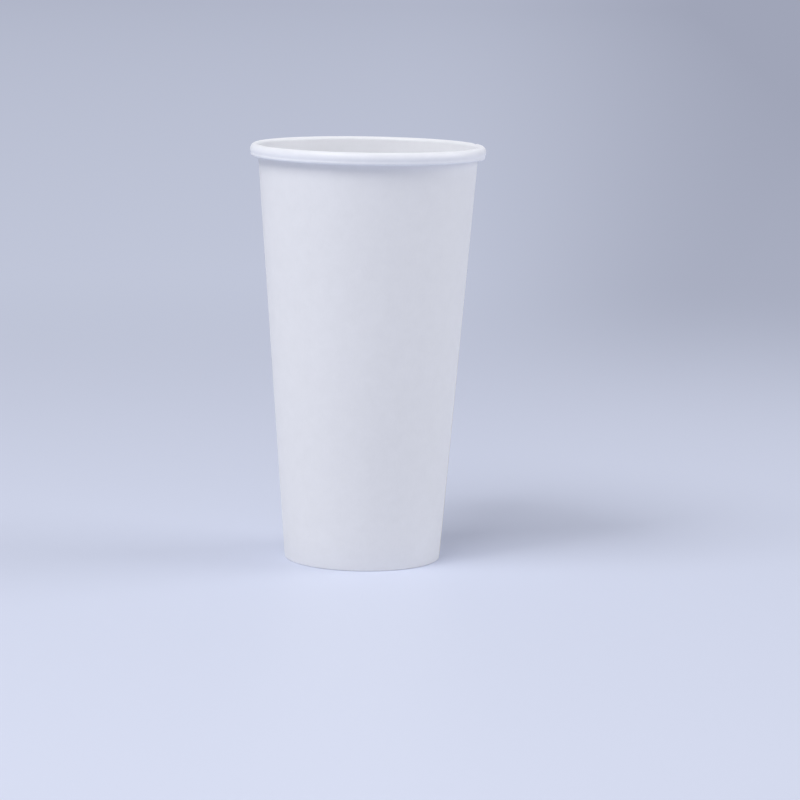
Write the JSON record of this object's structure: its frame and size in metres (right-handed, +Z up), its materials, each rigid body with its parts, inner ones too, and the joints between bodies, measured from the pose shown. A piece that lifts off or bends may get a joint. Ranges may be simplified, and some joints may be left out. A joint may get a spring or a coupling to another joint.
{
  "type": "compostable cold cup",
  "caption": "Tall tapered paper cold cup, open at the top, with a rolled rim, a lapped side seam and a recessed bottom disc held in a folded foot.",
  "frame": {"origin": "centre of the foot ring, on the surface the cup stands on", "axes": "+Z up along the cup's axis to the open rim; the side seam is near +X; -Y is the plain front"},
  "size_m": [0.09, 0.09, 0.16],
  "materials": {
    "sidewall_board": "white satin coated board",
    "disc_board": "white lined board"
  },
  "bodies": {
    "root": {"sidewall": "sidewall_board", "bottom_disc": "disc_board"}
  },
  "joints": []
}
